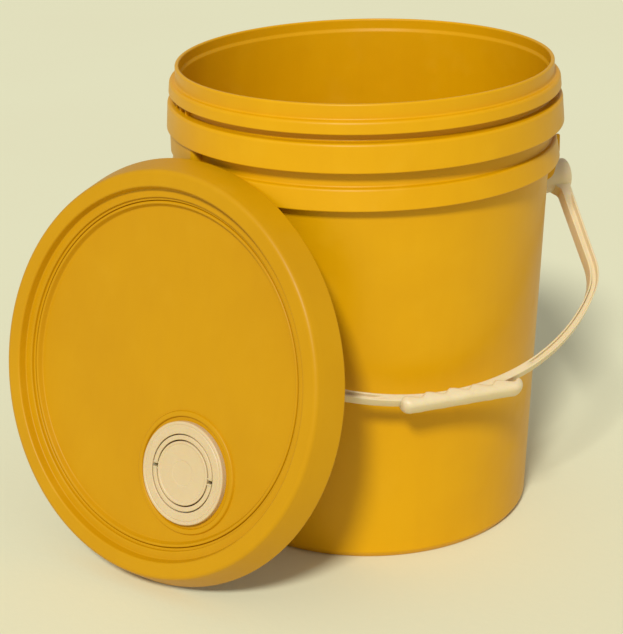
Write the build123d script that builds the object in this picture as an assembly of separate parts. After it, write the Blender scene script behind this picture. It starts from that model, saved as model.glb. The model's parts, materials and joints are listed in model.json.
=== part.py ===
from build123d import *
import os
from math import cos, radians, sin

# Open plastic pail of about 19 litres. Its lid leans on it, a pull-out spout is closed in
# the lid, and the bail hangs in front. Millimetres. The origin is the centre of the base,
# on the floor, +Z is up, the bail's hinge is along X and its grip is on the -Y side.

# ---------------------------------------------------------------- driving dimensions
WALL = 2.2

PAIL_H = 368.0
BASE_R = 129.0
SHOULDER_R = 143.8          # outside of the wall just under the lowest ring
SHOULDER_Z = 288.0
FOOT_H = 3.4                # the base panel stands this far off the floor
FOOT_W = 8.0
LIP_R = 146.5               # outside of the plain lip above the bead
LIP_IN = 143.4
BEAD_Z = (347.1, 356.5)
BEAD_R = (152.2, 151.2)     # at its lower and upper edge
RING2_Z = (319.6, 341.0)
RING2_R = (154.9, 153.3)
RING3_Z = (290.6, 307.0)
RING3_R = (152.2, 149.2)
NECK_R = 145.4              # wall between the rings
RIBS = 24                   # stiffening ribs inside each ring
RIB_T = 1.6

HINGE_Z = 252.0
STUD_R = 6.5
STUD_END = 170.5
STUD_HEAD_R = 7.6
STUD_HEAD_T = 2.4
PAD_R = 11.5
PAD_END = 146.0
EAR_HALF_ANGLE = 12.0       # half of the block that ties the two lower rings together
EAR_BLOCK_R = 153.0
CHEEK_Y = 17.5
CHEEK_T = 3.0
CHEEK_OUT = 161.5

BAIL_REST = 56.5            # degrees forward of hanging straight down
BAIL_W = 8.0                # across the strap
BAIL_IN = 189.0             # inside radius of the strap's arc about the hinge
BAIL_T = 6.0                # strap thickness over the arc
LEG_LOW = 95.0              # legs are straight down to here, measured from the hinge
LEG_IN = (166.5, 158.5)     # inside of a leg at the hinge line and at LEG_LOW
LEG_OUT = (176.0, 165.2)    # outside of a leg at the same two places
BAIL_FILLET = 55.0
WEB_T = 2.4                 # centre web of the grooved legs
RIM_T = 1.8                 # edge flanges of the grooved legs
HUB_R = 13.5
HUB_IN = 146.4
HUB_OUT = 176.5
RUN_CLEAR = 0.06            # radial running clearance
GRIP_MID = 12.0
GRIP_LEN = 94.0
GRIP_W = 14.0
GRIP_IN = 188.2
GRIP_OUT = 199.0
FINGERS = 5
FINGER_DEEP = 2.4

LID_AZIMUTH = 57.3          # the lid's outer face looks this far round from -Y towards -X
LID_LEAN = 14.5             # degrees back from upright
LID_SIDE = -46.6            # lid centre, sideways along its own face
LID_OUT = 203.8             # lid centre, outwards from the pail's axis
LID_R = 155.3
SKIRT_R = 162.2
SKIRT_H = 16.2
CREST_H = 6.0
CREST_R = (141.5, 151.0)
LEDGE_R = (132.0, 138.8)
LEDGE_H = -0.5
RIDGE_R = (127.6, 130.2)
RIDGE_H = -2.6
GUTTER_H = -4.4
PANEL_R = 126.0
PANEL_H = -6.5
PLUG_R = (139.6, 141.8)     # inner ring that drops inside the pail's lip
PLUG_END = -12.5
GASKET_R = (142.4, 148.6)
GASKET_T = 2.6

SPOUT_U = 33.9
SPOUT_V = -67.7
RING_R = 39.0               # retaining ring
RING_IN = 29.6
RING_TOP = -1.6
BOSS_R = (42.5, 46.0)       # raised ring moulded in the lid around the spout
BOSS_TOP = -4.6
COLLAR_R = (31.2, 33.4)     # upstand that the retaining ring grips
COLLAR_TOP = -3.8
SLEEVE_T = 1.0
SLEEVE_OUT = 30.6
SLEEVE_IN = 25.4
SLEEVE_LOW = -29.0
NECK_OUT = 22.0
NECK_IN = 19.6
NECK_TOP = -5.6
NECK_LOW = -24.0
CAP_R = 24.2
CAP_TOP = -1.8
CAP_T = 1.8
CAP_SKIRT_LOW = -17.0
LINER_T = 1.0
PULL_R = (25.2, 28.8)
PULL_T = 2.2
PULL_HINGE = 2.2            # each tab's hinge line from the cap's centre line
PULL_PIN_R = 0.6


# ---------------------------------------------------------------- helpers
def spun(points):
    """Solid of revolution about Z from (radius, height) points."""
    outline = Polyline(*[(r, 0, z) for r, z in points], close=True)
    return revolve(make_face(outline), axis=Axis.Z)


def ring_between(r_in, r_out, z_low, z_high):
    return spun([(r_in, z_low), (r_out, z_low), (r_out, z_high), (r_in, z_high)])


def along_x(radius, x_start, x_end, z):
    """Cylinder along X, from x_start to x_end."""
    plane = Plane(origin=(x_start, 0, z), x_dir=(0, 1, 0), z_dir=(1, 0, 0))
    return plane * extrude(Circle(radius), x_end - x_start)


def both_sides(shape):
    return shape + mirror(shape, about=Plane.YZ)


def wall_radius(z):
    return BASE_R + (SHOULDER_R - BASE_R) * z / SHOULDER_Z


# ---------------------------------------------------------------- pail
def skirt_ring(z_range, r_range, wall_low, wall_high):
    """Points, going up, of a ring that is open underneath like a gutter upside down."""
    z_low, z_high = z_range
    r_low, r_high = r_range
    return [(wall_low, z_high - WALL), (r_high - WALL, z_high - WALL), (r_low - WALL, z_low),
            (r_low, z_low), (r_high, z_high - 1.2), (r_high - 1.2, z_high), (wall_high, z_high)]


def make_pail():
    foot_in = BASE_R - 4.0 - FOOT_W
    outside = [(0, FOOT_H), (foot_in - 2.0, FOOT_H), (foot_in, 0), (BASE_R - 4.0, 0),
               (BASE_R - 1.2, 1.6), (wall_radius(6.0), 6.0), (SHOULDER_R, SHOULDER_Z)]
    outside += skirt_ring(RING3_Z, RING3_R, SHOULDER_R, NECK_R)
    outside += skirt_ring(RING2_Z, RING2_R, NECK_R, NECK_R)
    outside += skirt_ring(BEAD_Z, BEAD_R, NECK_R, LIP_R)
    lip = [(LIP_R, PAIL_H - 1.2), (LIP_R - 1.0, PAIL_H), (LIP_IN + 0.8, PAIL_H), (LIP_IN, PAIL_H - 1.0)]
    inside = [(SHOULDER_R - WALL, SHOULDER_Z), (wall_radius(14.0) - WALL, 14.0),
              (wall_radius(8.0) - WALL - 2.5, FOOT_H + WALL + 1.6),
              (foot_in, FOOT_H + WALL), (0, FOOT_H + WALL)]
    pail = spun(outside + lip + inside)
    for z_range, r_range in ((RING3_Z, RING3_R), (RING2_Z, RING2_R)):
        depth = r_range[1] - WALL - NECK_R + 2.2
        height = z_range[1] - z_range[0] - WALL - 3.0
        rib = Box(depth, RIB_T, height, align=(Align.MIN, Align.CENTER, Align.MAX))
        start = NECK_R - 1.6
        top = z_range[1] - WALL + 0.4
        pail += [Rot(0, 0, (i + 0.5) * 360 / RIBS) * Pos(start, 0, top) * rib for i in range(RIBS)]
    return pail + both_sides(make_ear())


def make_ear():
    """Ear at +X: a block between the rings, a stud with a snap head and two cheeks."""
    block = Polyline((NECK_R - 1.0, 0, RING3_Z[1] - 4), (EAR_BLOCK_R - 1.5, 0, RING3_Z[1] - 4),
                     (EAR_BLOCK_R, 0, RING2_Z[0] + 3), (NECK_R - 1.0, 0, RING2_Z[0] + 3), close=True)
    block = Rot(0, 0, -EAR_HALF_ANGLE) * revolve(make_face(block), Axis.Z, 2 * EAR_HALF_ANGLE)
    root = wall_radius(HINGE_Z) - WALL / 2
    stud = along_x(PAD_R, root, PAD_END, HINGE_Z) + along_x(STUD_R, root, STUD_END, HINGE_Z)
    stud += along_x(STUD_HEAD_R, STUD_END - STUD_HEAD_T, STUD_END, HINGE_Z)
    side = Polyline((SHOULDER_R - 2.0, 0, RING3_Z[0] + 2), (CHEEK_OUT, 0, RING3_Z[0] + 2),
                    (CHEEK_OUT, 0, RING3_Z[0] - 12), (CHEEK_OUT - 5, 0, HINGE_Z + 6),
                    (wall_radius(HINGE_Z) - 1.5, 0, HINGE_Z - 2), close=True)
    cheek = extrude(make_face(side), CHEEK_T / 2, both=True)
    return block + stud + [Pos(0, y, 0) * cheek for y in (-CHEEK_Y, CHEEK_Y)]


# ---------------------------------------------------------------- bail
def bail_outline(leg_top, leg_low, arc_r):
    """U-shaped face below the hinge line: two straight legs, an arc about the hinge."""
    slope = (leg_top - leg_low) / LEG_LOW
    deep = BAIL_IN + 40
    legs = Polyline((-leg_top, 0), (leg_top, 0), (leg_top - slope * deep, -deep),
                    (-leg_top + slope * deep, -deep), close=True)
    face = make_face(legs) & Circle(arc_r)
    low = face.vertices().filter_by(lambda v: v.Y < -20)
    return fillet(low, BAIL_FILLET)


def make_bail():
    inner = bail_outline(*LEG_IN, BAIL_IN)
    outer = bail_outline(*LEG_OUT, BAIL_IN + BAIL_T)
    strap = extrude(outer - inner, BAIL_W / 2, both=True)
    groove_in = bail_outline(*[r + RIM_T for r in LEG_IN], BAIL_IN + RIM_T)
    groove_out = bail_outline(*[r - RIM_T for r in LEG_OUT], BAIL_IN + BAIL_T - RIM_T)
    groove = extrude(groove_out - groove_in, BAIL_W)
    keep = Pos(0, -20, 0) * Box(400, 40, 40) + Pos(GRIP_MID, -BAIL_IN, 0) * Box(GRIP_LEN + 30, 60, 40)
    groove = Pos(0, 0, WEB_T / 2) * groove - keep
    strap = strap - groove - mirror(groove, about=Plane.XY)
    strap += make_grip()
    hub = along_x(HUB_R, HUB_IN, HUB_OUT, 0)
    bore = along_x(STUD_R + RUN_CLEAR, HUB_IN - 1, STUD_END - STUD_HEAD_T - 0.3, 0)
    bore += along_x(STUD_HEAD_R + RUN_CLEAR + 0.2, STUD_END - STUD_HEAD_T - 0.3, STUD_END + 0.5, 0)
    strap = strap + both_sides(hub) - both_sides(bore)
    return Pos(0, 0, HINGE_Z) * Rot(90 - BAIL_REST, 0, 0) * strap


def make_grip():
    """Thicker hand grip with finger waves on the side that faces the hinge."""
    left = GRIP_MID - GRIP_LEN / 2
    pitch = GRIP_LEN / FINGERS
    waves = []
    for i in range(FINGERS):
        x = left + i * pitch
        valley = (x + pitch / 2, -GRIP_IN - FINGER_DEEP)
        waves.append(ThreePointArc((x, -GRIP_IN), valley, (x + pitch, -GRIP_IN)))
    right = left + GRIP_LEN
    back = Polyline((right, -GRIP_IN), (right + 2, -GRIP_OUT + 3), (right - 3, -GRIP_OUT),
                    (left + 3, -GRIP_OUT), (left - 2, -GRIP_OUT + 3), (left, -GRIP_IN))
    return extrude(make_face(waves + [back]), GRIP_W / 2, both=True)


# ---------------------------------------------------------------- lid, in its own frame
def lid_plane():
    az = radians(LID_AZIMUTH)
    lean = radians(LID_LEAN)
    out = Vector(-sin(az), -cos(az), 0)
    side = Vector(cos(az), -sin(az), 0)
    normal = out * cos(lean) + Vector(0, 0, sin(lean))
    height = SKIRT_R * cos(lean) + SKIRT_H * sin(lean)
    centre = out * LID_OUT + side * LID_SIDE + Vector(0, 0, height)
    return Plane(origin=centre, x_dir=side, z_dir=normal)


def make_lid_shell():
    """Lid with a crest, stepped inner edge, plug ring, skirt and a hole for the spout."""
    outside = [(0, PANEL_H), (PANEL_R, PANEL_H), (RIDGE_R[0], RIDGE_H), (RIDGE_R[1], RIDGE_H),
               (RIDGE_R[1] + 0.6, GUTTER_H), (LEDGE_R[0], GUTTER_H), (LEDGE_R[0] + 0.6, LEDGE_H),
               (LEDGE_R[1], LEDGE_H), (CREST_R[0] - 1.4, CREST_H - 1.2), (CREST_R[0], CREST_H),
               (CREST_R[1], CREST_H), (LID_R - 1.2, CREST_H - 2.6), (LID_R, 0),
               (SKIRT_R, -SKIRT_H)]
    inside = [(SKIRT_R - WALL, -SKIRT_H), (LID_R - WALL, -1.0), (CREST_R[1] - 1.0, CREST_H - WALL),
              (PLUG_R[1], CREST_H - WALL), (PLUG_R[1] - 0.4, PLUG_END), (PLUG_R[0] + 0.4, PLUG_END),
              (PLUG_R[0], LEDGE_H - WALL), (LEDGE_R[0] - 1.4, LEDGE_H - WALL),
              (LEDGE_R[0] - 1.8, GUTTER_H - WALL), (RIDGE_R[0] - 0.4, GUTTER_H - WALL - 1.6),
              (PANEL_R - 1.4, PANEL_H - WALL), (0, PANEL_H - WALL)]
    lid = spun(outside + inside)
    lid += spout_place() * ring_between(*BOSS_R, PANEL_H - 0.5, BOSS_TOP)
    lid += spout_place() * ring_between(*COLLAR_R, PANEL_H - WALL, COLLAR_TOP)
    hole = Pos(0, 0, PANEL_H - 20) * extrude(Circle(COLLAR_R[0]), 40)
    return lid - spout_place() * hole


def make_lid_gasket():
    return ring_between(*GASKET_R, CREST_H - WALL - GASKET_T - 0.02, CREST_H - WALL - 0.02)


# ---------------------------------------------------------------- spout, about its own axis
def spout_place():
    return Pos(SPOUT_U, SPOUT_V, 0)


def make_spout_ring():
    """Retaining ring: a flat face with a skirt that grips the lid's collar."""
    return spun([(RING_IN, RING_TOP - 1.8), (RING_IN, RING_TOP - 0.5), (RING_IN + 0.5, RING_TOP),
                 (RING_R - 1.0, RING_TOP), (RING_R, RING_TOP - 1.0), (RING_R, PANEL_H + 0.02),
                 (RING_R - 2.0, PANEL_H + 0.02), (RING_R - 2.0, RING_TOP - 1.8)])


def make_spout_gasket():
    return ring_between(COLLAR_R[1] + 0.1, RING_R - 2.2, PANEL_H + 0.02, PANEL_H + 1.8)


def make_spout_sleeve():
    """Thin folded sleeve: clamped under the ring, down inside the hole, back up to the neck."""
    top = COLLAR_TOP + 0.02
    return spun([(COLLAR_R[1] - 0.4, top), (COLLAR_R[1] - 0.4, top + 0.36), (SLEEVE_OUT - SLEEVE_T, top + 0.36),
                 (SLEEVE_OUT - SLEEVE_T - 1.2, SLEEVE_LOW + SLEEVE_T), (SLEEVE_IN + SLEEVE_T, SLEEVE_LOW + SLEEVE_T),
                 (SLEEVE_IN + SLEEVE_T - 0.4, CAP_SKIRT_LOW - 3.0), (SLEEVE_IN - 0.4, CAP_SKIRT_LOW - 3.0),
                 (SLEEVE_IN, SLEEVE_LOW), (SLEEVE_OUT - 1.2, SLEEVE_LOW), (SLEEVE_OUT, top)])


def make_spout_neck():
    """Threaded neck with a foot flange that joins the folded sleeve."""
    return spun([(NECK_IN, NECK_TOP), (NECK_OUT, NECK_TOP), (NECK_OUT, CAP_SKIRT_LOW - 1.0),
                 (SLEEVE_IN - 0.5, CAP_SKIRT_LOW - 1.6), (SLEEVE_IN - 0.5, NECK_LOW), (NECK_IN, NECK_LOW)])


def make_spout_seal():
    """Tear-out seal across the neck with its finger ring standing on it."""
    disc = Pos(0, 0, NECK_LOW) * extrude(Circle(NECK_IN - 0.02), 0.8)
    post = Pos(NECK_IN - 5.0, 0, NECK_LOW + 0.8) * Box(3.0, 4.0, 6.4, align=(Align.CENTER, Align.CENTER, Align.MIN))
    loop = ring_between(NECK_IN - 6.4, NECK_IN - 3.6, NECK_LOW + 5.4, NECK_LOW + 7.6)
    return disc + post + loop


def make_spout_cap():
    """Screw cap: a dished top with a fine raised rim, and a plain skirt."""
    under = CAP_TOP - CAP_T
    cap = spun([(0, under), (NECK_OUT + 0.4, under), (NECK_OUT + 0.4, CAP_SKIRT_LOW), (CAP_R, CAP_SKIRT_LOW),
                (CAP_R, CAP_TOP - 0.4), (CAP_R - 0.4, CAP_TOP), (CAP_R - 2.2, CAP_TOP),
                (CAP_R - 2.6, CAP_TOP - 0.5), (0, CAP_TOP - 0.5)])
    pin = along_x(PULL_PIN_R, CAP_R - 0.5, PULL_R[1] - 0.5, CAP_TOP - PULL_T / 2)
    return cap + [Pos(0, y, 0) * both_sides(pin) for y in (-PULL_HINGE, PULL_HINGE)]


def make_cap_liner():
    under = CAP_TOP - CAP_T
    return Pos(0, 0, under - LINER_T - 0.02) * extrude(Circle(NECK_OUT - 0.3), LINER_T)


def make_cap_pull(side):
    """Half-ring tab that lies flat round the cap; side is +1 or -1 along the lid's own Y."""
    ring = ring_between(*PULL_R, CAP_TOP - PULL_T, CAP_TOP)
    tab = ring & Pos(0, PULL_HINGE, 0) * Box(80, 60, 20, align=(Align.CENTER, Align.MIN, Align.CENTER))
    middle = CAP_TOP - PULL_T / 2
    eye = along_x(PULL_T / 2, PULL_R[0], PULL_R[1], middle)
    hole = along_x(PULL_PIN_R + RUN_CLEAR, PULL_R[0] - 1, PULL_R[1] + 1, middle)
    tab = tab + Pos(0, PULL_HINGE, 0) * both_sides(eye) - Pos(0, PULL_HINGE, 0) * both_sides(hole)
    return tab if side > 0 else mirror(tab, about=Plane.XZ)


def write_parts():
    os.makedirs("parts", exist_ok=True)
    lid = lid_plane()
    spout = lid * spout_place()
    parts = {
        "pail": make_pail(),
        "bail_handle": make_bail(),
        "lid_shell": lid * make_lid_shell(),
        "lid_gasket": lid * make_lid_gasket(),
        "spout_ring": spout * make_spout_ring(),
        "spout_gasket": spout * make_spout_gasket(),
        "spout_sleeve": spout * make_spout_sleeve(),
        "spout_neck": spout * make_spout_neck(),
        "spout_seal": spout * make_spout_seal(),
        "spout_cap": spout * make_spout_cap(),
        "cap_liner": spout * make_cap_liner(),
        "cap_pull_upper": spout * make_cap_pull(1),
        "cap_pull_lower": spout * make_cap_pull(-1),
    }
    for name, shape in parts.items():
        export_step(shape, f"parts/{name}.step")


write_parts()
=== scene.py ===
import json
from math import asin, atan2, ceil, cos, pi, radians, sin, sqrt, tau

import bmesh
import bpy
from mathutils import Matrix, Vector


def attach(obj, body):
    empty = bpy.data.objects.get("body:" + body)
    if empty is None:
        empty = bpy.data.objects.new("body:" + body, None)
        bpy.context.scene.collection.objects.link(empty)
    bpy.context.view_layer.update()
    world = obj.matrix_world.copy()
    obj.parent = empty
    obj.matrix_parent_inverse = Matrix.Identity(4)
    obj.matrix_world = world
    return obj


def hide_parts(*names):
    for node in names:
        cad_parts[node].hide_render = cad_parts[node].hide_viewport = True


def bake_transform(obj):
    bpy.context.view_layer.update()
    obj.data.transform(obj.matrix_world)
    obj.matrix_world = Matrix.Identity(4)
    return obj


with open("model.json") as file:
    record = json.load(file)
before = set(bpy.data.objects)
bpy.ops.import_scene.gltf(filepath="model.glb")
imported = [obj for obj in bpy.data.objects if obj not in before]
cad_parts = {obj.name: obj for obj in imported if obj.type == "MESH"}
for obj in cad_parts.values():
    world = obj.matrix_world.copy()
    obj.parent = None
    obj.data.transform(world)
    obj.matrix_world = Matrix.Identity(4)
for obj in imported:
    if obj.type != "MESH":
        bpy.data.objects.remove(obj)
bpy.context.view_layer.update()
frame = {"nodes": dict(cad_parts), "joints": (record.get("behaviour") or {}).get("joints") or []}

# An open plastic pail of about 19 litres. Its lid leans on it with the pull-out spout closed,
# and its bail hangs in front. Each shape is drawn in millimetres in its part's own frame, and
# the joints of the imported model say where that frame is.

joints = {joint["name"]: joint for joint in frame["joints"]}
MM = 0.001

# ---------------------------------------------------------------- sizes, in millimetres
WALL = 2.2
PAIL_H = 368.0
BASE_R = 129.0
SHOULDER_R = 143.8
SHOULDER_Z = 288.0
FOOT_H = 3.4
FOOT_IN = BASE_R - 12.0
GATE_R = 22.0               # shallow recess in the middle of the base
GATE_DEEP = 0.8
LIP_R = 146.5
LIP_IN = 143.4
NECK_R = 145.4
BEAD_Z, BEAD_R = (347.1, 356.5), (152.2, 151.2)
RING2_Z, RING2_R = (319.6, 341.0), (154.9, 153.3)
RING3_Z, RING3_R = (290.6, 307.0), (152.2, 149.2)
RIBS = 24
RIB_T = 1.6

STUD_R = 6.5
STUD_END = 170.5
STUD_HEAD_R = 7.6
STUD_HEAD_T = 2.4
PAD_R = 11.5
PAD_END = 146.0
EAR_HALF_ANGLE = 12.0
EAR_BLOCK_R = 153.0
CHEEK_Y = 17.5
CHEEK_T = 3.0
CHEEK_OUT = 161.5

BAIL_REST = 56.5
BAIL_W = 8.0
BAIL_IN = 189.0
BAIL_T = 6.0
LEG_LOW = 95.0
LEG_DEEPER = 2.8            # a leg is this much deeper than the strap, on its lower side
LEG_FROM, LEG_FADE = 110, 40        # from this far out along X, growing over this run
LEG_IN = (166.5, 156.8)
LEG_OUT = (176.0, 165.2)
BAIL_FILLET = 55.0
WEB_T = 2.4
RIM_T = 1.8
HUB_BAR = 22                # the strap is a plain bar down to here, measured from the hinge
GRIP_BAR = 12               # and this far beside the grip
BAR_FADE = 8                # the channel deepens over this run
HUB_R = 13.5
HUB_IN = 146.4
HUB_OUT = 176.5
RUN_CLEAR = 0.06
GRIP_MID = 12.0
GRIP_LEN = 94.0
GRIP_W = 14.0
GRIP_IN = 188.2
GRIP_OUT = 199.0
FINGERS = 5
FINGER_DEEP = 3.4
FINGER_FALL = 0.72          # share of a lobe over which it falls away
HUB_FLARE = 5.5             # the legs widen by this much where they meet the hubs
HUB_FLARE_RUN = 7

LID_R = 155.3
SKIRT_R = 162.2
SKIRT_H = 16.2
CREST_H = 6.0
CREST_R = (141.5, 151.0)
LEDGE_R = (132.0, 138.8)
LEDGE_H = -0.5
RIDGE_R = (128.0, 129.8)
RIDGE_H = -2.6
GUTTER_H = -5.2
PANEL_R = 126.0
PANEL_H = -6.5
PLUG_R = (139.6, 141.8)
PLUG_END = -12.5
GASKET_R = (142.4, 148.6)
GASKET_T = 2.6

SPOUT_U = 33.9
SPOUT_V = -67.7
RING_R = 39.0
RING_IN = 29.6
RING_TOP = -1.6
BOSS_R = (42.5, 46.0)
BOSS_TOP = -4.6
COLLAR_R = (31.2, 33.4)
COLLAR_TOP = -3.8
SLEEVE_OUT = 30.6
SLEEVE_IN = 25.4
SLEEVE_LOW = -29.0
NECK_OUT = 22.0
NECK_IN = 19.6
NECK_TOP = -5.6
NECK_LOW = -24.0
CAP_R = 24.2
CAP_TOP = -1.8
CAP_T = 1.8
CAP_SKIRT_LOW = -17.0
PULL_R = (25.2, 28.8)
PULL_T = 2.2
PULL_HINGE = 2.2
PULL_PIN_R = 0.6

ARC_STEP = radians(18)      # one facet of a rounded corner
HOLD = 0.5                  # a support point this far from a corner keeps the flats flat
ROUND_STEPS = 256           # facets of the pail and lid in one turn
SPOUT_STEPS = 128
FLOOR_SIZE = 24             # metres


# ---------------------------------------------------------------- frames of the parts
def placed(origin, x_axis, z_axis):
    """Matrix from millimetres in a part's own frame to metres in the row frame."""
    x_axis, z_axis = Vector(x_axis).normalized(), Vector(z_axis).normalized()
    turn = Matrix((x_axis, z_axis.cross(x_axis), z_axis)).transposed().to_4x4()
    return Matrix.Translation(origin) @ turn @ Matrix.Scale(MM, 4)


tilt = radians(90 - BAIL_REST)
UPRIGHT = Matrix.Scale(MM, 4)
HINGE_Z = joints["bail_swing"]["pos_m"][2] / MM
BAIL = placed(joints["bail_swing"]["pos_m"], (1, 0, 0), (0, -sin(tilt), cos(tilt)))
SPOUT = placed(joints["cap_turn"]["pos_m"], joints["lid_tip"]["axis"], joints["cap_turn"]["axis"])
LID = SPOUT @ Matrix.Translation((-SPOUT_U, -SPOUT_V, 0))
ALONG_X = Matrix.Rotation(pi / 2, 4, "Y")
OTHER_SIDE = Matrix.Rotation(pi, 4, "Z")


# ---------------------------------------------------------------- nodes
def add(tree, kind, inputs=None, **settings):
    """Adds a node, sets its properties, then sets or links its inputs."""
    node = tree.nodes.new(kind)
    for name, value in settings.items():
        setattr(node, name, value)
    for socket, value in (inputs or {}).items():
        if isinstance(value, bpy.types.NodeSocket):
            tree.links.new(value, node.inputs[socket])
        else:
            node.inputs[socket].default_value = value
    return node


def geometry_tree(name, inputs):
    """A Geometry Nodes tree with these named inputs after its geometry, and their outputs."""
    tree = bpy.data.node_groups.new(name, "GeometryNodeTree")
    for socket, kind in {"Geometry": "NodeSocketGeometry", **inputs}.items():
        tree.interface.new_socket(socket, in_out="INPUT", socket_type=kind)
    tree.interface.new_socket("Geometry", in_out="OUTPUT", socket_type="NodeSocketGeometry")
    return tree, add(tree, "NodeGroupInput").outputs


def end_tree(tree, geometry, surface):
    real = add(tree, "GeometryNodeRealizeInstances", {"Geometry": geometry})
    painted = add(tree, "GeometryNodeSetMaterial", {"Geometry": real.outputs[0], "Material": surface})
    add(tree, "NodeGroupOutput", {"Geometry": painted.outputs[0]})


def run_tree(obj, tree, **values):
    """Gives obj the tree as a modifier, each input set by its socket's identifier."""
    modifier = obj.modifiers.new(tree.name, "NODES")
    modifier.node_group = tree
    for item in tree.interface.items_tree:
        if item.in_out == "INPUT" and item.name in values:
            modifier[item.identifier] = values[item.name]


def make_spin_tree():
    """Spins a profile of (radius, 0, height) points about Z and welds its seam and poles."""
    tree, given = geometry_tree("spun_profile", {"Steps": "NodeSocketInt", "Surface": "NodeSocketMaterial"})
    profile, steps = given["Geometry"], given["Steps"]
    size = add(tree, "GeometryNodeAttributeDomainSize", {"Geometry": profile}, component="MESH")
    count = size.outputs["Point Count"]
    columns = add(tree, "ShaderNodeMath", {0: steps, 1: 1.0}, operation="ADD")
    grid = add(tree, "GeometryNodeMeshGrid", {"Vertices X": columns.outputs[0], "Vertices Y": count})
    index = add(tree, "GeometryNodeInputIndex").outputs[0]
    ratio = add(tree, "ShaderNodeMath", {0: index, 1: count}, operation="DIVIDE")
    column = add(tree, "ShaderNodeMath", {0: ratio.outputs[0]}, operation="FLOOR")
    row = add(tree, "ShaderNodeMath", {0: index, 1: count}, operation="MODULO")
    turn = add(tree, "ShaderNodeMath", {0: tau, 1: steps}, operation="DIVIDE")
    angle = add(tree, "ShaderNodeMath", {0: column.outputs[0], 1: turn.outputs[0]}, operation="MULTIPLY")
    here = add(tree, "GeometryNodeInputPosition").outputs[0]
    sample = add(tree, "GeometryNodeSampleIndex", {
        "Geometry": profile, "Value": here, "Index": row.outputs[0]},
        data_type="FLOAT_VECTOR", domain="POINT")
    spun = add(tree, "ShaderNodeVectorRotate", {"Vector": sample.outputs[0], "Angle": angle.outputs[0]},
               rotation_type="Z_AXIS")
    surface = add(tree, "GeometryNodeSetPosition", {
        "Geometry": grid.outputs[0], "Position": spun.outputs[0]})
    welded = add(tree, "GeometryNodeMergeByDistance", {"Geometry": surface.outputs[0], "Distance": 0.001})
    end_tree(tree, welded.outputs[0], given["Surface"])
    return tree


def make_rib_tree():
    """Upright plates round a wall: Count of them, Step apart from the angle First."""
    tree, given = geometry_tree("ribs_round_a_wall", {
        "Count": "NodeSocketInt", "First": "NodeSocketFloat", "Step": "NodeSocketFloat",
        "Radius": "NodeSocketFloat", "Height": "NodeSocketFloat", "Size": "NodeSocketVector",
        "Surface": "NodeSocketMaterial"})
    index = add(tree, "GeometryNodeInputIndex").outputs[0]
    angle = add(tree, "ShaderNodeMath", {
        0: index, 1: given["Step"], 2: given["First"]}, operation="MULTIPLY_ADD")
    turn = add(tree, "ShaderNodeCombineXYZ", {"Z": angle.outputs[0]})
    start = add(tree, "ShaderNodeCombineXYZ", {"X": given["Radius"], "Z": given["Height"]})
    spot = add(tree, "ShaderNodeVectorRotate", {"Vector": start.outputs[0], "Angle": angle.outputs[0]},
               rotation_type="Z_AXIS")
    points = add(tree, "GeometryNodePoints", {"Count": given["Count"], "Position": spot.outputs[0]})
    plate = add(tree, "GeometryNodeMeshCube", {"Size": given["Size"]})
    ribs = add(tree, "GeometryNodeInstanceOnPoints", {
        "Points": points.outputs[0], "Instance": plate.outputs[0], "Rotation": turn.outputs[0]})
    end_tree(tree, ribs.outputs[0], given["Surface"])
    return tree


# ---------------------------------------------------------------- materials
MIX_FACTOR, MIX_A, MIX_B, MIX_OUT = 0, 6, 7, 2      # sockets of a colour Mix node


def hex_colour(text):
    """sRGB hex to linear RGBA."""
    channels = [int(text[i:i + 2], 16) / 255 for i in (1, 3, 5)]
    linear = [c / 12.92 if c <= 0.04045 else ((c + 0.055) / 1.055) ** 2.4 for c in channels]
    return (*linear, 1.0)


def new_material(name):
    """A bare material, its node tree and its object coordinates."""
    material = bpy.data.materials.new(name)
    material.use_nodes = True
    tree = material.node_tree
    tree.nodes.clear()
    return material, tree, add(tree, "ShaderNodeTexCoord").outputs["Object"]


def patches(tree, spot, size_mm, low, high, stretch=(1, 1, 1), turn=(0, 0, 0), detail=3.0):
    """Factor from 0 to 1 in soft patches of about that size, drawn out by stretch."""
    scale = [1 / (size_mm * MM * s) for s in stretch]
    moved = add(tree, "ShaderNodeMapping", {"Vector": spot, "Rotation": turn, "Scale": scale})
    noise = add(tree, "ShaderNodeTexNoise", {"Vector": moved.outputs[0], "Scale": 1.0, "Detail": detail})
    shaped = add(tree, "ShaderNodeMapRange", {"Value": noise.outputs[0], "From Min": low, "From Max": high},
                 interpolation_type="SMOOTHSTEP")
    return shaped.outputs[0]


def tinted(tree, under, over, factor, most=1.0):
    """Colour that goes from under to over with the factor, as far as most."""
    share = add(tree, "ShaderNodeMath", {0: factor, 1: most}, operation="MULTIPLY").outputs[0]
    return add(tree, "ShaderNodeMix", {MIX_FACTOR: share, MIX_A: under, MIX_B: over},
               data_type="RGBA").outputs[MIX_OUT]


def bumped(tree, layers):
    """Normal with (height factor, depth in millimetres) layers laid over each other."""
    normal = None
    for height, depth_mm in layers:
        inputs = {"Height": height, "Distance": depth_mm * MM, "Strength": 1.0}
        if normal:
            inputs["Normal"] = normal
        normal = add(tree, "ShaderNodeBump", inputs).outputs[0]
    return normal


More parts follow.
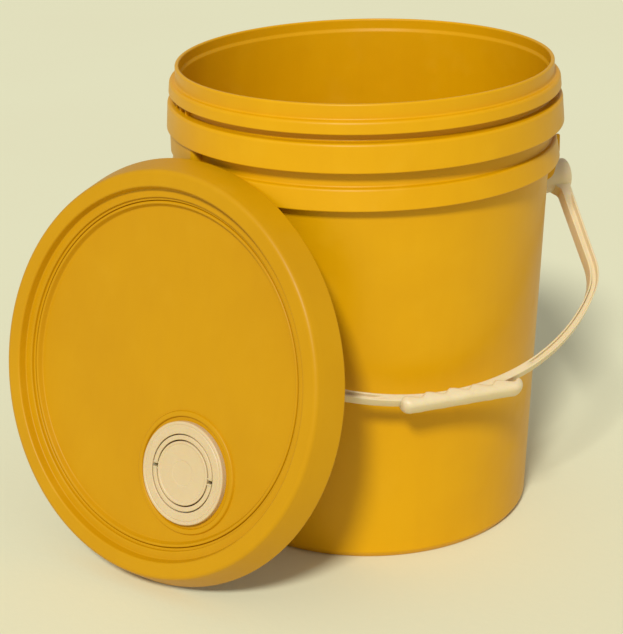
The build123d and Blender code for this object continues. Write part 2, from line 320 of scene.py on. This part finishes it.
def moulded_plastic(name, main, deep, pale, roughness, glow=0.0, glow_mm=(3.0, 1.6, 0.4), grain_mm=1.6,
                    sheen=0.5):
    """Injection-moulded polyethylene: pigment that drifts in tone, flow lines drawn up the wall,
    a slightly wavy skin with a fine peel, dull rubbed patches and thin pale scratches."""
    material, tree, spot = new_material(name)
    drift = patches(tree, spot, 70, 0.32, 0.72)
    flow = patches(tree, spot, 9, 0.40, 0.75, stretch=(1, 1, 7))
    rubbed = patches(tree, spot, 26, 0.50, 0.78, detail=5.0)
    scratch_up = patches(tree, spot, 0.7, 0.70, 0.80, stretch=(1, 1, 26), turn=(0.3, 0.2, 0))
    scratch_across = patches(tree, spot, 0.8, 0.71, 0.80, stretch=(30, 1, 1), turn=(0.1, 0.5, 0.9))
    scratches = add(tree, "ShaderNodeMath", {
        0: scratch_up, 1: scratch_across}, operation="MAXIMUM").outputs[0]
    colour = tinted(tree, hex_colour(main), hex_colour(deep), drift, 0.30)
    colour = tinted(tree, colour, hex_colour(deep), flow, 0.10)
    colour = tinted(tree, colour, hex_colour(pale), rubbed, 0.08)
    colour = tinted(tree, colour, hex_colour(pale), scratches, 0.16)
    dull = add(tree, "ShaderNodeMath", {
        0: rubbed, 1: 0.10, 2: roughness}, operation="MULTIPLY_ADD").outputs[0]
    rough = add(tree, "ShaderNodeMath", {
        0: scratches, 1: 0.15, 2: dull}, operation="MULTIPLY_ADD").outputs[0]
    wave = patches(tree, spot, 24, 0.2, 0.8, detail=1.0)
    peel = patches(tree, spot, grain_mm, 0.2, 0.8, detail=2.0)
    normal = bumped(tree, [(wave, 0.16), (peel, 0.02)])
    shader = add(tree, "ShaderNodeBsdfPrincipled", {
        "Base Color": colour, "Roughness": rough, "Normal": normal,
        "IOR": 1.52, "Specular IOR Level": sheen, "Subsurface Weight": glow,
        "Subsurface Radius": [r * MM for r in glow_mm], "Subsurface Scale": 1.0})
    add(tree, "ShaderNodeOutputMaterial", {"Surface": shader.outputs[0]})
    return material


def soft_filler(name, main, deep, cell_mm, depth_mm, roughness):
    """Rubber or foam: small cells over a colour that drifts in tone."""
    material, tree, spot = new_material(name)
    drift = patches(tree, spot, 18, 0.3, 0.7)
    cells = add(tree, "ShaderNodeTexVoronoi", {"Vector": spot, "Scale": 1 / (cell_mm * MM)})
    colour = tinted(tree, hex_colour(main), hex_colour(deep), drift, 0.7)
    colour = tinted(tree, colour, hex_colour(deep), cells.outputs["Distance"], 0.4)
    normal = bumped(tree, [(cells.outputs["Distance"], depth_mm)])
    shader = add(tree, "ShaderNodeBsdfPrincipled", {
        "Base Color": colour, "Roughness": roughness, "Normal": normal, "IOR": 1.5})
    add(tree, "ShaderNodeOutputMaterial", {"Surface": shader.outputs[0]})
    return material


def paper_floor():
    """Matt painted board: a pale ground with a hardly visible drift in tone and tooth."""
    material, tree, spot = new_material("matt_painted_board")
    drift = patches(tree, spot, 700, 0.3, 0.7)
    tooth = patches(tree, spot, 6, 0.2, 0.8)
    colour = tinted(tree, hex_colour("#E6E4BF"), hex_colour("#E5E2BD"), drift)
    shader = add(tree, "ShaderNodeBsdfPrincipled", {
        "Base Color": colour, "Roughness": 0.9, "Normal": bumped(tree, [(tooth, 0.05)])})
    add(tree, "ShaderNodeOutputMaterial", {"Surface": shader.outputs[0]})
    return material


pail_plastic = moulded_plastic(
    "yellow_hdpe_injection_moulded", "#DAA000", "#CE9200", "#E6B424", 0.38, sheen=0.2)
# Painted shade: the lid is the same yellow plastic as the pail, its colour set darker so that its face comes
# out shaded
lid_yellow_with_painted_shade = moulded_plastic(
    "yellow_hdpe_lid_darkened_as_painted_shade", "#C69000", "#BA8300", "#D4A322", 0.42, sheen=0.2)
bail_plastic = moulded_plastic(
    "natural_ldpe_bail_moulded", "#E0CDA2", "#D2BB88", "#EFE4C8", 0.42, glow=0.25)
spout_plastic = moulded_plastic(
    "natural_ldpe_spout_moulded", "#D4BC90", "#C8AD7C", "#E6D4B0", 0.45, glow=0.2, grain_mm=0.8)
sleeve_plastic = moulded_plastic(
    "thin_ldpe_sleeve_moulded", "#DCC8A0", "#D0B98A", "#EADDC0", 0.35, glow=0.5, grain_mm=0.6)
gasket_rubber = soft_filler("nitrile_rubber_gasket", "#3B3A38", "#232221", 0.5, 0.02, 0.62)
liner_foam = soft_filler("expanded_polyethylene_foam", "#EFEDE4", "#D8D4C6", 0.7, 0.08, 0.85)


# ---------------------------------------------------------------- outlines and shapes
def rounded(corners, loop=False, facets=None):
    """Points through (x, y) or (x, y, radius) corners; a corner with a radius becomes an arc.
    With facets every arc has that many, so that the sections of a loft match, and there are
    no support points."""
    spots = [Vector(c[:2]) for c in corners]
    points = []
    for i, corner in enumerate(corners):
        radius = corner[2] if len(corner) > 2 else 0
        if not radius or (not loop and i in (0, len(corners) - 1)):
            points.append(spots[i])
            continue
        back, on = spots[i - 1] - spots[i], spots[(i + 1) % len(spots)] - spots[i]
        turn = pi - back.angle(on)
        reach = min(radius * abs(sin(turn / 2) / cos(turn / 2)), 0.49 * back.length, 0.49 * on.length)
        start, end = spots[i] + back.normalized() * reach, spots[i] + on.normalized() * reach
        centre = spots[i] + (back.normalized() + on.normalized()).normalized() * reach / sin(turn / 2)
        first, last = start - centre, end - centre
        steps = facets or max(2, ceil(turn / ARC_STEP))
        sweep = atan2(first.x * last.y - first.y * last.x, first.dot(last))
        points += [centre + Matrix.Rotation(sweep * k / steps, 2) @ first for k in range(steps + 1)]
    if loop:
        points.append(points[0])
    return points if facets else held(points)


def held(points):
    """The same line with a support point beside each end of its long runs."""
    line = [points[0]]
    for a, b in zip(points, points[1:]):
        run = b - a
        if run.length > 6 * HOLD:
            line += [a + run.normalized() * HOLD, b - run.normalized() * HOLD]
        line.append(b)
    return line


def new_object(name, mesh):
    obj = bpy.data.objects.new(name, mesh)
    bpy.context.scene.collection.objects.link(obj)
    return obj


def spun(name, corners, surface, loop=False, steps=ROUND_STEPS):
    """Object whose (radius, height) profile the spin tree turns about Z."""
    line = rounded(corners, loop)
    mesh = bpy.data.meshes.new(name)
    mesh.from_pydata([(p.x, 0, p.y) for p in line], [(i, i + 1) for i in range(len(line) - 1)], [])
    obj = new_object(name, mesh)
    run_tree(obj, SPIN, Steps=steps, Surface=surface)
    return obj


def loft(name, sections, surface, caps=True):
    """Object through sections of equally many points, each one a closed loop."""
    shape = bmesh.new()
    rows = [[shape.verts.new(p) for p in section] for section in sections]
    for row, after in zip(rows, rows[1:]):
        for i in range(len(row)):
            j = (i + 1) % len(row)
            shape.faces.new((row[i], row[j], after[j], after[i]))
    if caps:
        shape.faces.new(rows[0])
        shape.faces.new(rows[-1])
    bmesh.ops.recalc_face_normals(shape, faces=shape.faces)
    mesh = bpy.data.meshes.new(name)
    shape.to_mesh(mesh)
    shape.free()
    mesh.materials.append(surface)
    return new_object(name, mesh)


def bevelled(obj, width, segments=3):
    bevel = obj.modifiers.new("edges", "BEVEL")
    bevel.width = width
    bevel.segments = segments
    bevel.limit_method = "ANGLE"
    return obj


def finished_mesh(obj):
    """The object's mesh with its modifiers applied; the object itself goes."""
    graph = bpy.context.evaluated_depsgraph_get()
    mesh = bpy.data.meshes.new_from_object(obj.evaluated_get(graph))
    bpy.data.objects.remove(obj)
    return mesh


def cut(obj, *tools):
    """Takes the tools' solids out of obj."""
    for tool in tools:
        take = obj.modifiers.new("cut", "BOOLEAN")
        take.operation = "DIFFERENCE"
        take.solver = "EXACT"
        take.object = tool
    name = obj.name
    mesh = finished_mesh(obj)
    for tool in tools:
        bpy.data.objects.remove(tool)
    return new_object(name, mesh)


def piece(name, shapes, place, body, nodes=(), sharp=38):
    """One finished piece from (object, matrix in its part's frame) shapes. It is put in the row
    frame, welded, pointed outwards and shaded smooth up to the sharp angle, and rides on its body."""
    whole = bmesh.new()
    surface = None
    for obj, inner in shapes:
        mesh = finished_mesh(obj)
        surface = surface or mesh.materials[-1]
        one = bmesh.new()
        one.from_mesh(mesh)
        bmesh.ops.transform(one, matrix=place @ inner, verts=one.verts)
        bmesh.ops.remove_doubles(one, verts=one.verts, dist=0.002 * MM)
        bmesh.ops.recalc_face_normals(one, faces=one.faces)
        one.to_mesh(mesh)
        one.free()
        whole.from_mesh(mesh)
    mesh = bpy.data.meshes.new(name)
    whole.to_mesh(mesh)
    whole.free()
    mesh.materials.clear()
    mesh.materials.append(surface)
    mesh.polygons.foreach_set("material_index", [0] * len(mesh.polygons))
    mesh.shade_smooth()
    mesh.set_sharp_from_angle(angle=radians(sharp))
    obj = new_object(name, mesh)
    if body:
        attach(obj, body)
    if nodes:
        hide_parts(*nodes)
    return obj


def plain(*objects):
    return [(obj, Matrix.Identity(4)) for obj in objects]


def both_ends(make):
    """The same shape on the +X side and, turned half round, on the -X side."""
    return [(make(), Matrix.Identity(4)), (make(), OTHER_SIDE)]


SPIN = make_spin_tree()
RIB_SET = make_rib_tree()


# ---------------------------------------------------------------- pail
def wall_radius(z):
    return BASE_R + (SHOULDER_R - BASE_R) * z / SHOULDER_Z


def hanging_ring(z_range, r_range, wall_low, wall_high):
    """Profile, going up, of a ring that is open underneath like a gutter upside down."""
    (z_low, z_high), (r_low, r_high) = z_range, r_range
    return [(wall_low, z_high - WALL, 1.2), (r_high - WALL, z_high - WALL, 1.0), (r_low - WALL, z_low, 0.9),
            (r_low, z_low, 0.9), (r_high, z_high, 2.4), (wall_high, z_high, 1.4)]


def make_pail_shell():
    outside = [(0, FOOT_H), (GATE_R, FOOT_H, 0.4), (GATE_R + GATE_DEEP, FOOT_H + GATE_DEEP, 0.4),
               (FOOT_IN - 3.4, FOOT_H + GATE_DEEP, 1.2), (FOOT_IN, 0, 0.9), (BASE_R - 3.2, 0, 2.2),
               (wall_radius(5), 5, 4), (SHOULDER_R, SHOULDER_Z, 3)]
    outside += hanging_ring(RING3_Z, RING3_R, SHOULDER_R, NECK_R)
    outside += hanging_ring(RING2_Z, RING2_R, NECK_R, NECK_R)
    outside += hanging_ring(BEAD_Z, BEAD_R, NECK_R, LIP_R)
    inside = [(LIP_R, PAIL_H, 1.4), (LIP_IN, PAIL_H, 1.3), (LIP_IN, PAIL_H - 8, 2),
              (LIP_IN - 1.1, PAIL_H - 10.5, 2), (SHOULDER_R - WALL, SHOULDER_Z, 3),
              (wall_radius(8) - WALL, FOOT_H + WALL, 9), (0, FOOT_H + WALL)]
    return spun("shell", outside + inside, pail_plastic)


def ribs(count, first, step, low, size):
    obj = new_object("ribs", bpy.data.meshes.new("ribs"))
    depth, _, height = size
    run_tree(obj, RIB_SET, Count=count, First=radians(first), Step=radians(step),
             Radius=NECK_R - 0.8 + depth / 2, Height=low + height / 2, Size=size, Surface=pail_plastic)
    return bevelled(obj, 0.35, 2)


def make_ring_ribs():
    """Stiffening ribs inside both rings, and three short ribs in the neck over each ear."""
    sets = []
    for z_range, r_range in ((RING3_Z, RING3_R), (RING2_Z, RING2_R)):
        size = (r_range[1] - WALL - NECK_R + 1.4, RIB_T, z_range[1] - z_range[0] - WALL - 3)
        sets.append(ribs(RIBS, 180 / RIBS, 360 / RIBS, z_range[0] + 3.2, size))
    neck = (4.6, 1.4, BEAD_Z[0] - RING2_Z[1] + 1.2)
    sets += [ribs(3, side - 5, 5, RING2_Z[1] - 0.6, neck) for side in (0, 180)]
    return sets


def make_ear_block():
    """Block that ties the two lower rings together, with round front corners."""
    half = radians(EAR_HALF_ANGLE) * EAR_BLOCK_R
    back = NECK_R - 1
    plan = rounded([(-half, back), (-half, EAR_BLOCK_R, 5), (half, EAR_BLOCK_R, 5), (half, back)])
    across = []
    for a, b in zip(plan, plan[1:] + plan[:1]):
        parts = max(1, ceil((b - a).length / 4))
        across += [a.lerp(b, k / parts) for k in range(parts)]
    sections = []
    for z in (RING3_Z[1] - 3.5, RING3_Z[1] - 3, RING2_Z[0] + 2.5, RING2_Z[0] + 3):
        sections.append([(p.y * cos(p.x / EAR_BLOCK_R), p.y * sin(p.x / EAR_BLOCK_R), z) for p in across])
    return loft("ear_block", sections, pail_plastic)


def make_cheek(side):
    """Tapered web beside the hinge, hanging from the lowest ring."""
    top = RING3_Z[0] + 2
    outline = rounded([(SHOULDER_R - 2, top), (CHEEK_OUT, top, 1.2), (CHEEK_OUT, top - 14, 5),
                       (CHEEK_OUT - 5, HINGE_Z + 6, 8), (wall_radius(HINGE_Z) - 1.5, HINGE_Z - 2)], facets=4)
    sections = [[(p.x, side * CHEEK_Y + w, p.y) for p in outline] for w in (-CHEEK_T / 2, CHEEK_T / 2)]
    return bevelled(loft("cheek", sections, pail_plastic), 0.7)


def make_stud():
    """Hinge stud on its pad: a snap head split by a cross slot, so that it can close up."""
    root = wall_radius(HINGE_Z) - 1
    head = STUD_END - STUD_HEAD_T
    profile = [(0, root), (PAD_R, root), (PAD_R, PAD_END, 0.8), (STUD_R, PAD_END, 1.5), (STUD_R, head, 0.2),
               (STUD_HEAD_R, head, 0.4), (STUD_HEAD_R, STUD_END - 1, 1.6), (STUD_R - 2, STUD_END, 1),
               (0, STUD_END)]
    stud = spun("stud", profile, pail_plastic, steps=64)
    slots = []
    for half_w, half_d in ((0.7, 10.0), (10.0, 0.7)):
        sections = [[(-half_w, -half_d, z), (half_w, -half_d, z), (half_w, half_d, z), (-half_w, half_d, z)]
                    for z in (STUD_END - 9, STUD_END + 2)]
        slots.append(loft("slot", sections, pail_plastic))
    return cut(stud, *slots)


def add_pail():
    piece("pail_shell", plain(make_pail_shell()), UPRIGHT, "pail", ["pail"])
    piece("pail_ribs", plain(*make_ring_ribs()), UPRIGHT, "pail", sharp=30)
    shapes = both_ends(make_ear_block)
    for side in (-1, 1):
        shapes += both_ends(lambda: make_cheek(side))
    stud_place = Matrix.Translation((0, 0, HINGE_Z)) @ ALONG_X
    shapes += [(make_stud(), stud_place), (make_stud(), OTHER_SIDE @ stud_place)]
    piece("pail_ears", shapes, UPRIGHT, "pail")


# ---------------------------------------------------------------- bail
def half_u(leg, arc_r):
    """Points of one edge of the U, from the hinge line down the +X leg to the lowest point:
    a straight leg, a fillet, and an arc about the hinge."""
    top = Vector((leg[0], 0))
    along = Vector((leg[1] - leg[0], -LEG_LOW)).normalized()
    inward = Vector((along.y, -along.x))
    start = top + inward * BAIL_FILLET
    b, c = along.dot(start), start.length_squared - (arc_r - BAIL_FILLET) ** 2
    down = -b + sqrt(b * b - c)
    centre = start + along * down
    points = [top + along * down * k / 40 for k in range(40)]
    swing_from, swing_to = atan2(-inward.y, -inward.x), atan2(centre.y, centre.x)
    for k in range(24):
        a = swing_from + (swing_to - swing_from) * k / 24
        points.append(centre + Vector((cos(a), sin(a))) * BAIL_FILLET)
    for k in range(61):
        a = swing_to + (-pi / 2 - swing_to) * k / 60
        points.append(Vector((cos(a), sin(a))) * arc_r)
    return points


def smooth_step(x):
    x = min(1.0, max(0.0, x))
    return x * x * (3 - 2 * x)


def strap_section(inner, outer):
    """Channel section of the strap between its inner and outer edge: two rims and a web,
    filled up to a plain bar near the hubs and under the grip."""
    middle = (inner + outer) / 2
    on_leg, on_arc = abs(middle.x) > LEG_IN[1] - 25, middle.y < -100
    from_hub = -middle.y - HUB_BAR if on_leg else BAR_FADE
    from_grip = abs(middle.x - GRIP_MID) - GRIP_LEN / 2 - GRIP_BAR if on_arc else BAR_FADE
    open_share = smooth_step(from_hub / BAR_FADE) * smooth_step(from_grip / BAR_FADE)
    deeper = LEG_DEEPER * smooth_step((abs(middle.x) - LEG_FROM) / LEG_FADE)
    thick, half = (outer - inner).length, (BAIL_W + deeper) / 2
    web = half - 0.02 - (half - 0.02 - WEB_T / 2) * open_share
    rim = min(RIM_T, 0.3 * thick)
    corners = []
    for side in (1, -1):
        face = [(0, half, 0.7), (rim, half, 0.5), (rim + 0.3, web, 0.4), (thick - rim - 0.3, web, 0.4),
                (thick - rim, half, 0.5), (thick, half, 0.7)]
        corners += [(t, w * side, r) for t, w, r in (face if side > 0 else reversed(face))]
    outward = (outer - inner).normalized()
    line = rounded(corners, loop=True, facets=4)[:-1]
    return [(inner.x + outward.x * p.x, inner.y + outward.y * p.x, p.y - deeper / 2) for p in line]


def make_strap():
    inner, outer = half_u(LEG_IN, BAIL_IN), half_u(LEG_OUT, BAIL_IN + BAIL_T)
    first = next(i for i, p in enumerate(inner) if p.y < -HUB_R + 4)
    pairs = list(zip(inner, outer))[first:]
    flare = []
    for a, b in pairs:                                  # the leg flares into the hub's underside
        near = 1 - min(1.0, max(0.0, (-a.y - HUB_R + 1) / HUB_FLARE_RUN))
        flare.append((a - Vector((HUB_FLARE * near ** 2.2, 0)), b))
    mirrored = [(Vector((-a.x, a.y)), Vector((-b.x, b.y))) for a, b in reversed(flare[:-1])]
    return loft("strap", [strap_section(a, b) for a, b in flare + mirrored], bail_plastic)


def make_hub():
    """Hub with a stepped bore that snaps over the stud."""
    step = STUD_END - STUD_HEAD_T - 0.3
    bore, wide = STUD_R + RUN_CLEAR, STUD_HEAD_R + RUN_CLEAR + 0.2
    profile = [(bore, HUB_IN, 0.3), (HUB_R, HUB_IN, 1.0), (HUB_R, HUB_OUT, 2.2), (HUB_R - 3.4, HUB_OUT, 0.8),
               (wide + 0.6, HUB_OUT - 1.2, 0.6), (wide, step, 0.1), (bore, step, 0.3)]
    return spun("hub", profile, bail_plastic, loop=True, steps=96)


def finger_wave(x):
    """Depth of the finger waves at x: each lobe falls away gently and rises quickly."""
    share = (x - GRIP_MID + GRIP_LEN / 2) / GRIP_LEN * FINGERS
    if not 0 < share < FINGERS:
        return 0.0
    s = share % 1
    if s < FINGER_FALL:
        return FINGER_DEEP * smooth_step(s / FINGER_FALL)
    return FINGER_DEEP * (1 - smooth_step((s - FINGER_FALL) / (1 - FINGER_FALL)))


def make_grip():
    """Hand grip: a rounded bar with finger waves on the side that faces the hinge."""
    half, end = GRIP_LEN / 2 + 1.6, 7.0
    sections = []
    stations = 150
    for k in range(stations + 1):
        x = GRIP_MID - half + 2 * half * k / stations
        from_end = min(x - GRIP_MID + half, GRIP_MID + half - x)
        full = sqrt(max(0.02, 1 - (1 - min(1.0, from_end / end)) ** 2))
        low = BAIL_IN + 1 - (BAIL_IN + 1 - GRIP_IN) * full + finger_wave(x) * full
        high = BAIL_IN + BAIL_T - 1 + (GRIP_OUT - BAIL_IN - BAIL_T + 1) * full
        wide = BAIL_W / 2 - 0.6 + (GRIP_W / 2 - BAIL_W / 2 + 0.6) * full
        corners = [(-wide, -low, 2.6), (wide, -low, 2.6), (wide, -high, 4.2), (-wide, -high, 4.2)]
        sections.append([(x, p.y, p.x) for p in rounded(corners, loop=True, facets=4)[:-1]])
    return loft("grip", sections, bail_plastic)


def add_bail():
    hub = [(make_hub(), ALONG_X), (make_hub(), OTHER_SIDE @ ALONG_X)]
    shapes = plain(make_strap(), make_grip()) + hub
    piece("bail_handle_piece", shapes, BAIL, "bail", ["bail_handle"])


# ---------------------------------------------------------------- lid
def make_lid_shell():
    """Lid with a crest that fits over the pail's lip, a stepped inner edge and a flat panel."""
    outside = [(0, PANEL_H), (PANEL_R, PANEL_H, 1.2), (RIDGE_R[0], RIDGE_H, 0.9), (RIDGE_R[1], RIDGE_H, 0.9),
               (RIDGE_R[1] + 0.6, GUTTER_H, 0.5), (LEDGE_R[0], GUTTER_H, 0.5),
               (LEDGE_R[0] + 0.6, LEDGE_H, 1.1), (LEDGE_R[1], LEDGE_H, 0.9),
               (CREST_R[0] - 1, CREST_H, 1.8), (CREST_R[1] + 1.5, CREST_H, 4),
               (LID_R, 0, 5), (SKIRT_R, -SKIRT_H, 0.8)]
    inside = [(SKIRT_R - WALL, -SKIRT_H, 0.8), (LID_R - WALL, -1, 4), (CREST_R[1] - 1, CREST_H - WALL, 1.5),
              (PLUG_R[1], CREST_H - WALL, 1.2), (PLUG_R[1] - 0.4, PLUG_END, 0.8),
              (PLUG_R[0] + 0.4, PLUG_END, 0.8),
              (PLUG_R[0], LEDGE_H - WALL, 0.8), (LEDGE_R[0] - 1.4, LEDGE_H - WALL, 0.8),
              (LEDGE_R[0] - 1.8, GUTTER_H - WALL, 0.6), (RIDGE_R[0] - 0.4, GUTTER_H - WALL - 1.6, 0.8),
              (PANEL_R - 1.4, PANEL_H - WALL, 1), (0, PANEL_H - WALL)]
    shell = spun("shell", outside + inside, lid_yellow_with_painted_shade)
    hole = [(0, -60), (COLLAR_R[0], -60), (COLLAR_R[0], 60), (0, 60)]
    tool = spun("hole", hole, lid_yellow_with_painted_shade, steps=SPOUT_STEPS)
    tool = new_object("hole", finished_mesh(tool))
    tool.data.transform(Matrix.Translation((SPOUT_U, SPOUT_V, 0)))
    return cut(shell, tool)


def make_boss():
    """Raised ring moulded in the lid round the spout, and the collar that grips it."""
    low = PANEL_H - 0.6
    boss = [(BOSS_R[0] - 0.8, low), (BOSS_R[1] + 1.2, low), (BOSS_R[1], BOSS_TOP, 1.2),
            (BOSS_R[0], BOSS_TOP, 1.2)]
    collar = [(COLLAR_R[0], PANEL_H - WALL, 0.4), (COLLAR_R[1], PANEL_H - WALL),
              (COLLAR_R[1], COLLAR_TOP, 0.6), (COLLAR_R[0], COLLAR_TOP, 0.6)]
    return [(spun("ring", outline, lid_yellow_with_painted_shade, loop=True, steps=SPOUT_STEPS),
             Matrix.Translation((SPOUT_U, SPOUT_V, 0))) for outline in (boss, collar)]


def make_lid_gasket():
    low, high = CREST_H - WALL - GASKET_T, CREST_H - WALL - 0.04
    outline = [(GASKET_R[0], low, 1.1), (GASKET_R[1], low, 1.1), (GASKET_R[1], high, 0.6),
               (GASKET_R[0], high, 0.6)]
    return spun("gasket", outline, gasket_rubber, loop=True)


def add_lid():
    shapes = plain(make_lid_shell()) + make_boss()
    piece("lid_panel_and_rim", shapes, LID, "lid", ["lid_shell"])
    piece("lid_rim_gasket", plain(make_lid_gasket()), LID, "lid", ["lid_gasket"])


# ---------------------------------------------------------------- spout
def round_piece(name, outline, surface, body, nodes, loop=True):
    obj = spun(name, outline, surface, loop=loop, steps=SPOUT_STEPS)
    return piece(name, plain(obj), SPOUT, body, nodes)


def add_retaining_ring():
    low, inner = PANEL_H + 0.02, RING_TOP - 1.8
    outline = [(RING_IN, inner, 0.4), (RING_IN, RING_TOP, 0.7), (RING_R - 3.4, RING_TOP, 0.3),
               (RING_R - 3.0, RING_TOP - 0.35, 0.3), (RING_R - 2.4, RING_TOP - 0.35, 0.3),
               (RING_R - 2.0, RING_TOP, 0.3), (RING_R, RING_TOP, 1.2), (RING_R, low, 0.2),
               (RING_R - 2, low, 0.2), (RING_R - 2, inner, 0.6)]
    round_piece("spout_clamp_ring", outline, spout_plastic, "lid", ["spout_ring"])


def add_sleeve():
    """Thin sleeve between the clamp ring and the neck's foot."""
    top, fold, steps, taper = COLLAR_TOP + 0.2, SLEEVE_LOW, 12, 1.6
    shares = [k / steps for k in range(steps)]
    inner = [(SLEEVE_OUT - 1 - taper * t, top + 0.3 + (fold + 0.7 - top) * t) for t in shares]
    outer = [(SLEEVE_OUT - taper * t, top + (fold - top) * t) for t in shares]
    outline = [(COLLAR_R[1] - 0.4, top), (COLLAR_R[1] - 0.4, top + 0.3), *inner,
               (SLEEVE_OUT - 1 - taper, fold + 1, 1.0), (SLEEVE_IN - 0.9, fold + 1, 0.3),
               (SLEEVE_IN - 0.9, fold, 0.3), (SLEEVE_OUT - taper, fold, 1.8), *reversed(outer)]
    sleeve = round_piece("spout_folded_sleeve", outline, sleeve_plastic, None,
                         ["spout_sleeve"])
    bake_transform(sleeve)


def add_neck():
    outline = [(NECK_IN, NECK_TOP, 0.6), (NECK_OUT, NECK_TOP, 0.6), (NECK_OUT, CAP_SKIRT_LOW - 1, 0.5),
               (SLEEVE_IN - 0.5, CAP_SKIRT_LOW - 1.6, 0.5), (SLEEVE_IN - 0.5, SLEEVE_LOW + 0.5, 0.4),
               (SLEEVE_IN - 2, SLEEVE_LOW + 0.5, 0.4), (SLEEVE_IN - 2, NECK_LOW, 0.6),
               (NECK_IN, NECK_LOW, 0.4)]
    round_piece("spout_threaded_neck", outline, spout_plastic, "spout", ["spout_neck"])


def add_cap():
    """Screw cap: a dished top inside a fine raised rim, and a plain skirt under it."""
    under = CAP_TOP - CAP_T
    top = CAP_TOP - 0.5
    outline = [(0, under), (NECK_OUT + 0.4, under, 0.5), (NECK_OUT + 0.4, CAP_SKIRT_LOW, 0.4),
               (CAP_R, CAP_SKIRT_LOW, 0.5), (CAP_R, CAP_TOP, 0.6), (CAP_R - 1.6, CAP_TOP, 0.5),
               (CAP_R - 2.3, top, 0.6), (10, top, 0.4), (9.4, top - 0.25, 0.3), (0, top - 0.25)]
    pins = []
    for y in (-PULL_HINGE, PULL_HINGE):
        for side in (Matrix.Identity(4), OTHER_SIDE):
            root, end = CAP_R - 0.6, PULL_R[1] - 0.5
            pin = spun("pin", [(0, root), (PULL_PIN_R, root), (PULL_PIN_R, end, 0.2), (0, end)],
                       spout_plastic, steps=24)
            at = Matrix.Translation((0, y, CAP_TOP - PULL_T / 2))
            pins.append((pin, at @ side @ ALONG_X))
    cap = spun("cap", outline, spout_plastic, steps=SPOUT_STEPS)
    piece("spout_screw_cap", plain(cap) + pins, SPOUT, "cap", ["spout_cap"])


def add_pull(name, body, node, side):
    """Half-ring tab that lies flat round the cap, with an eye on each hinge pin."""
    mid_r = (PULL_R[0] + PULL_R[1]) / 2
    first = asin(PULL_HINGE / mid_r)
    outline = [(PULL_R[0], CAP_TOP - PULL_T, 0.5), (PULL_R[1], CAP_TOP - PULL_T, 0.5),
               (PULL_R[1], CAP_TOP, 0.7), (PULL_R[0], CAP_TOP, 0.7)]
    section = rounded(outline, loop=True, facets=4)[:-1]
    sweep = [first + (pi - 2 * first) * k / 72 for k in range(73)]
    sections = [[(p.x * cos(a), p.x * sin(a), p.y) for p in section] for a in sweep]
    arch = loft("arch", sections, spout_plastic)
    shapes = plain(arch)
    eye = [(PULL_PIN_R + RUN_CLEAR, PULL_R[0]), (PULL_T / 2, PULL_R[0], 0.3), (PULL_T / 2, PULL_R[1], 0.3),
           (PULL_PIN_R + RUN_CLEAR, PULL_R[1])]
    for turn in (Matrix.Identity(4), Matrix.Scale(-1, 4, (1, 0, 0))):
        at = turn @ Matrix.Translation((0, PULL_HINGE, CAP_TOP - PULL_T / 2)) @ ALONG_X
        shapes.append((spun("eye", eye, spout_plastic, loop=True, steps=24), at))
    facing = Matrix.Scale(side, 4, (0, 1, 0))
    shapes = [(obj, facing @ inner) for obj, inner in shapes]
    piece(name, shapes, SPOUT, body, [node])


def add_spout():
    add_retaining_ring()
    add_sleeve()
    add_neck()
    add_cap()
    add_pull("cap_pull_tab_upper", "pull_upper", "cap_pull_upper", 1)
    add_pull("cap_pull_tab_lower", "pull_lower", "cap_pull_lower", -1)
    finishes = {"spout_gasket": gasket_rubber, "cap_liner": liner_foam, "spout_seal": sleeve_plastic}
    for node, surface in finishes.items():
        mesh = frame["nodes"][node].data
        mesh.materials.clear()
        mesh.materials.append(surface)


# ---------------------------------------------------------------- floor, light and camera
def direction(azimuth, elevation):
    """Unit vector towards that side. Azimuth 0 is -Y and 90 is +X, elevation is above level."""
    a, e = radians(azimuth), radians(elevation)
    return Vector((sin(a) * cos(e), -cos(a) * cos(e), sin(e)))


def add_floor():
    bpy.ops.mesh.primitive_grid_add(x_subdivisions=8, y_subdivisions=8, size=FLOOR_SIZE)
    floor = bpy.context.object
    floor.name = "floor"
    floor.data.materials.append(paper_floor())


def add_sun(name, azimuth, elevation, strength, spread, colour):
    sun = bpy.data.lights.new(name, "SUN")
    sun.energy = strength
    sun.angle = radians(spread)
    sun.color = hex_colour(colour)[:3]
    obj = new_object(name, sun)
    obj.rotation_euler = direction(azimuth, elevation).to_track_quat("Z", "Y").to_euler()


def add_light():
    add_sun("key_light", azimuth=-33, elevation=42, strength=2.6, spread=10, colour="#FFFFFF")
    world = bpy.data.worlds.new("studio")
    bpy.context.scene.world = world
    world.use_nodes = True
    tree = world.node_tree
    tree.nodes.clear()
    soft_light = add(tree, "ShaderNodeBackground", {"Color": hex_colour("#FFFFFF"), "Strength": 0.42})
    backdrop = add(tree, "ShaderNodeBackground", {"Color": hex_colour("#E5E3BE"), "Strength": 1.0})
    seen = add(tree, "ShaderNodeLightPath").outputs["Is Camera Ray"]
    both = add(tree, "ShaderNodeMixShader", {0: seen, 1: soft_light.outputs[0], 2: backdrop.outputs[0]})
    add(tree, "ShaderNodeOutputWorld", {"Surface": both.outputs[0]})


def add_camera():
    camera = bpy.data.cameras.new("camera")
    camera.lens = 101.6
    camera.sensor_width = 36
    obj = new_object("camera", camera)
    heading, pitch, roll = radians(19.07), radians(21.10), radians(-1.54)
    turn = (Matrix.Rotation(-heading, 4, "Z") @ Matrix.Rotation(pi / 2 - pitch, 4, "X")
            @ Matrix.Rotation(roll, 4, "Z"))
    obj.matrix_world = Matrix.Translation((-0.4891, -1.2741, 0.6799)) @ turn
    camera.clip_end = 60
    bpy.context.scene.camera = obj


add_pail()
add_bail()
add_lid()
add_spout()
add_floor()
add_light()
add_camera()
bpy.context.scene.view_settings.view_transform = "Standard"
